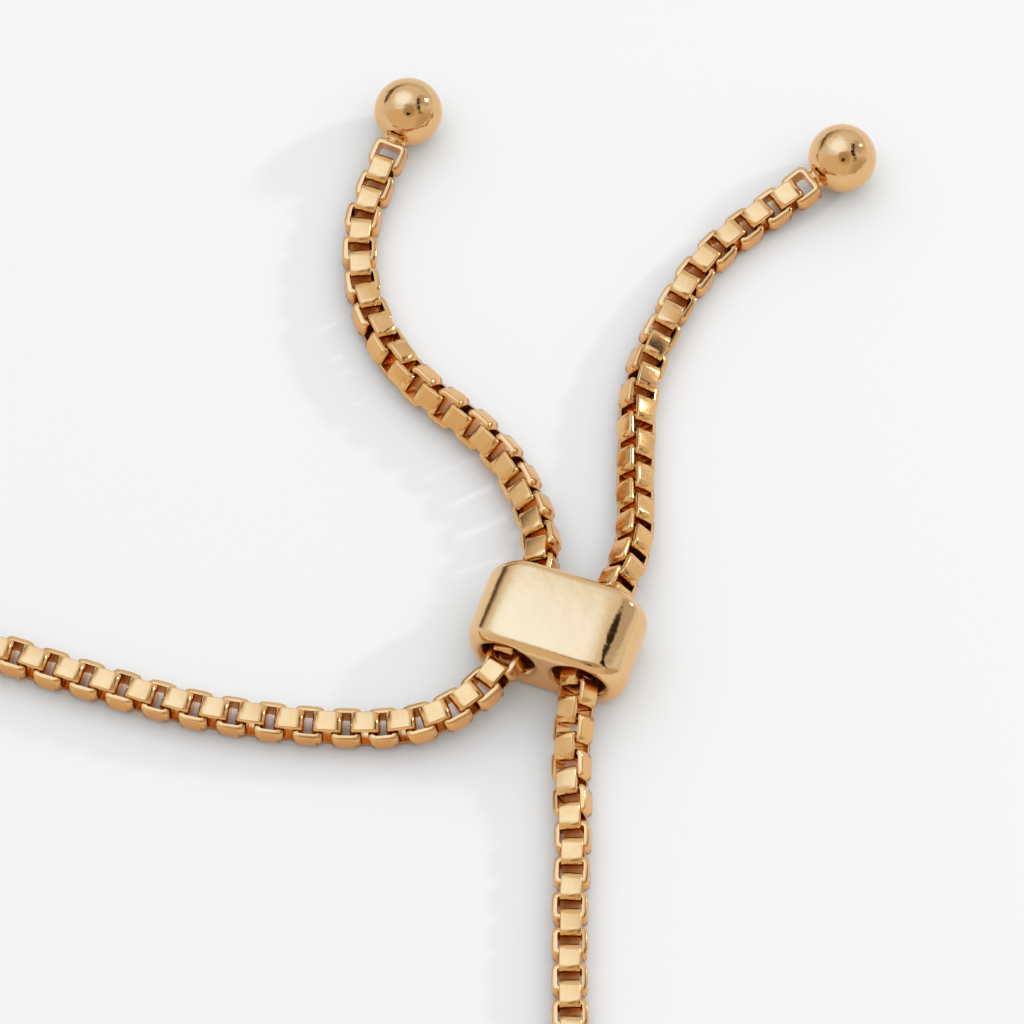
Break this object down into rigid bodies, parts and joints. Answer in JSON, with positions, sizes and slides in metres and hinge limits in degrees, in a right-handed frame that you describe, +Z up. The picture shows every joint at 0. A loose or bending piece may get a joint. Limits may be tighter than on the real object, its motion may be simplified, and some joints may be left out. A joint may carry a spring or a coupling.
{
  "type": "bolo slider bracelet",
  "caption": "Sliding bolo bracelet: a round box chain whose two ends pass through a rounded slider bead and end in polished balls, lying on a surface.",
  "frame": {"origin": "centre of the slider's underside, on the surface that the bracelet lies on", "axes": "+Z up from the surface; the slider's bores run near Y, turned 19.4 degrees clockwise as seen from above; the balls lie towards +Y and the wrist loop towards -X and -Y"},
  "size_m": [0.0734, 0.0784, 0.0049],
  "materials": {
    "slider_gold": "high-polish pale gold plating",
    "chain_gold": "bright gold plating, slightly mottled",
    "ball_gold": "high-polish gold plating"
  },
  "bodies": {
    "root": {"slider": "slider_gold", "chain_left": "chain_gold", "chain_right": "chain_gold", "end_ball_left": "ball_gold", "end_ball_right": "ball_gold"}
  },
  "joints": []
}
